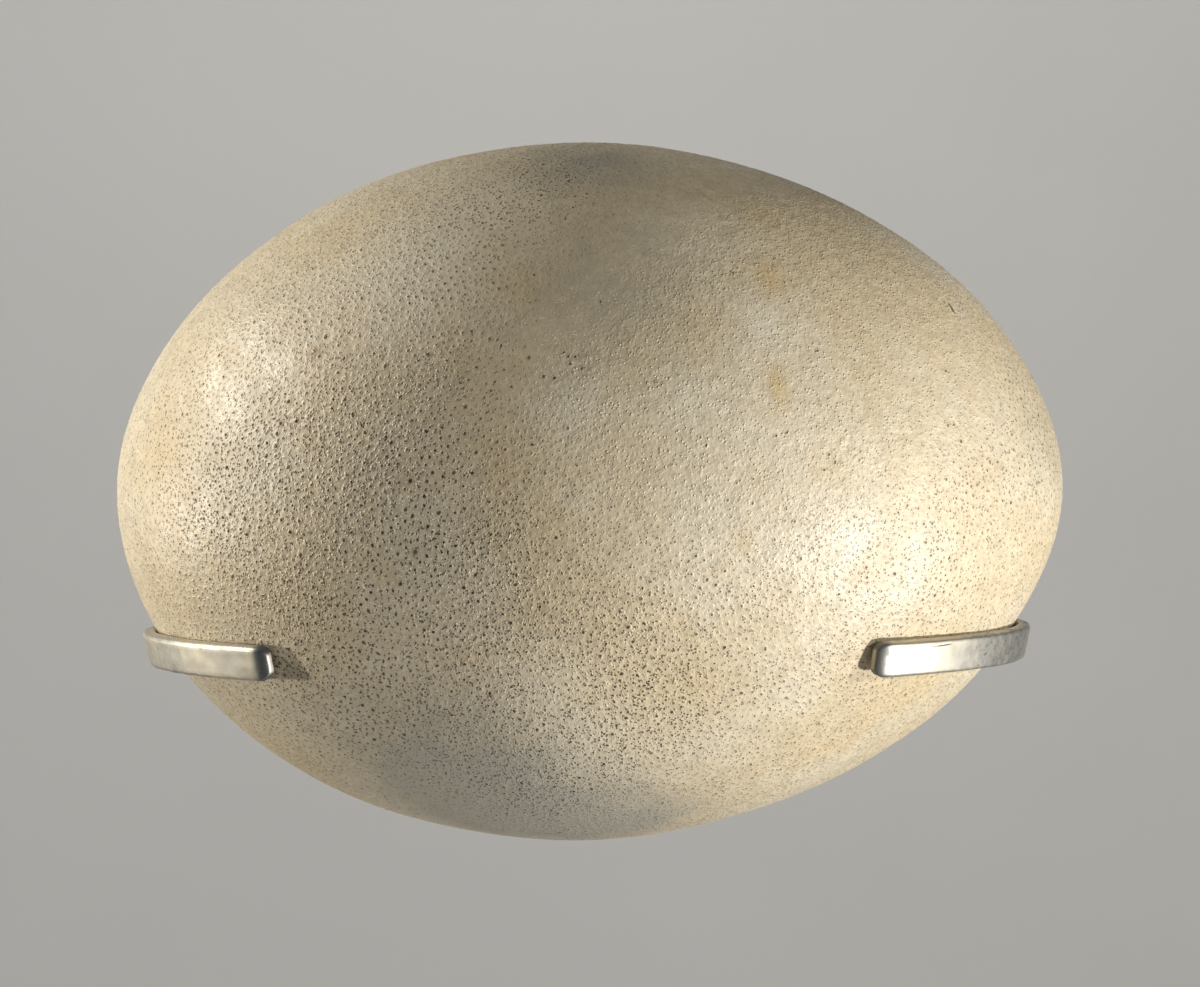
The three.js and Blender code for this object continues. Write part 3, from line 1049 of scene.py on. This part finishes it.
def soft_light(name, direction, distance, size, power, colour, target=EGG_CENTRE):
    """A square soft box in a direction from the egg, which faces the target."""
    light = bpy.data.lights.new(name, "AREA")
    light.size = size
    light.energy = power
    light.color = colour
    lamp = bpy.data.objects.new(name, light)
    lamp.location = EGG_CENTRE + Vector(direction).normalized() * distance
    lamp.rotation_euler = (lamp.location - target).to_track_quat("Z", "Y").to_euler()
    lamp.visible_camera = False
    bpy.context.scene.collection.objects.link(lamp)


studio_floor()

# Each lamp's direction from the egg, distance and size in metres, power in watts and colour
soft_light("key_right", (0.838, -0.45, -0.33), 1.1, 0.08, 11.3, (1.0, 0.965, 0.91))
soft_light("right_high", (0.88, -0.4, 0.1), 1.2, 0.12, 4.9, (1.0, 0.95, 0.84))
soft_light("left_high", (-0.87, 0.05, 0.46), 1.1, 0.06, 7.7, (1.0, 0.93, 0.81))
soft_light("left_low", (-0.98, 0.07, -0.08), 1.1, 0.06, 6.4, (1.0, 0.93, 0.81))
soft_light("top", (0.29, 0.11, 0.95), 1.4, 0.03, 0.6, (1.0, 0.8, 0.45))
soft_light("top_left", (-0.5, -0.3, 0.8), 1.4, 0.15, 1.9, (1.0, 0.99, 0.98))
soft_light("backdrop", (0, 0.85, 0.52), 2.0, 1.0, 28, (1.0, 1.0, 1.0), BACKDROP)
soft_light("front_wall", (0, -0.85, 0.52), 2.0, 1.0, 10, WARM_WHITE, FRONT_WALL)

world = bpy.data.worlds.new("studio")
world.use_nodes = True
background = world.node_tree.nodes["Background"]
background.inputs["Color"].default_value = (*WARM_WHITE, 1)
background.inputs["Strength"].default_value = WORLD_STRENGTH
bpy.context.scene.world = world
bpy.context.scene.view_settings.view_transform = "Standard"

lens = bpy.data.cameras.new("camera")
lens.sensor_width = SENSOR_WIDTH
lens.lens = SENSOR_WIDTH * PIXELS_PER_RADIAN / PICTURE_WIDTH
lens.shift_x = (PICTURE_WIDTH / 2 - EGG_CENTRE_PIXEL[0]) / PICTURE_WIDTH
lens.shift_y = (EGG_CENTRE_PIXEL[1] - PICTURE_HEIGHT / 2) / PICTURE_WIDTH
lens.clip_end = CAMERA_REACH
camera = bpy.data.objects.new("camera", lens)
camera.location = EYE
camera.rotation_euler = (math.pi / 2 - CAMERA_ELEVATION, 0, 0)
bpy.context.scene.collection.objects.link(camera)
bpy.context.scene.camera = camera
